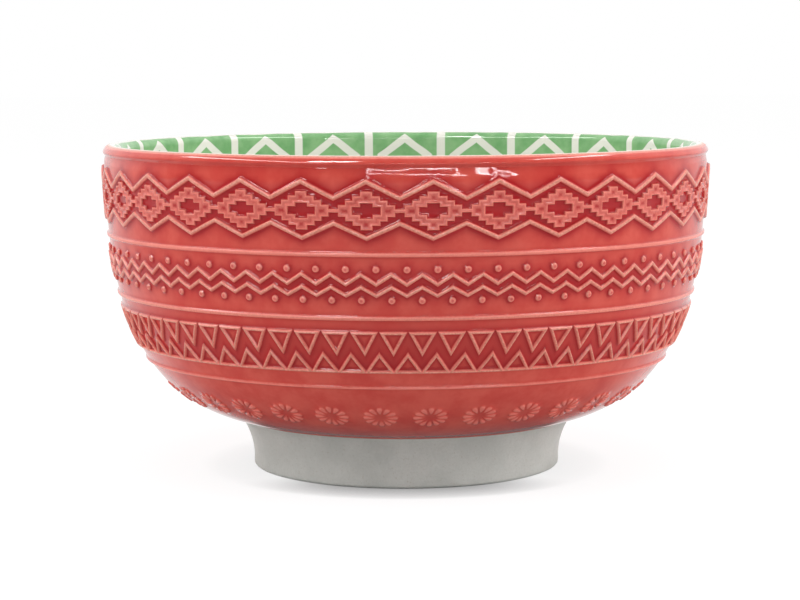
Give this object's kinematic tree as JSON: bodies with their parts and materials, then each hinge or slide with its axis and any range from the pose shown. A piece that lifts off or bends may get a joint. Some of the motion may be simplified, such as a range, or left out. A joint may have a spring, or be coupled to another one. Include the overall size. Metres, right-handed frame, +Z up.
{
  "type": "serving bowl",
  "caption": "Round deep stoneware serving bowl on a foot ring, with moulded relief bands outside and a glazed, printed inside.",
  "frame": {"origin": "centre of the circle that the foot stands on, at table height", "axes": "+Z up along the bowl's axis; the pictured front faces -Y; +X to the right of the front view"},
  "size_m": [0.2042, 0.2042, 0.109],
  "materials": {
    "red_glaze": "glossy translucent coral red glaze, darker where it pools",
    "relief_glaze": "glossy glaze broken pale over the raised lines",
    "white_glaze": "glossy white glaze with a green print",
    "bare_stoneware": "matt light grey, unglazed"
  },
  "bodies": {
    "root": {"bowl_wall": "red_glaze", "foot_ring": "bare_stoneware", "inner_glaze": "white_glaze", "upper_zigzag": "relief_glaze", "diamond_chain": "relief_glaze", "lower_zigzag": "relief_glaze", "frieze_ring": "relief_glaze", "fine_zigzag_upper": "relief_glaze", "fine_zigzag_lower": "relief_glaze", "middle_ring": "relief_glaze", "standing_triangles": "relief_glaze", "lower_ring": "relief_glaze"}
  },
  "joints": []
}
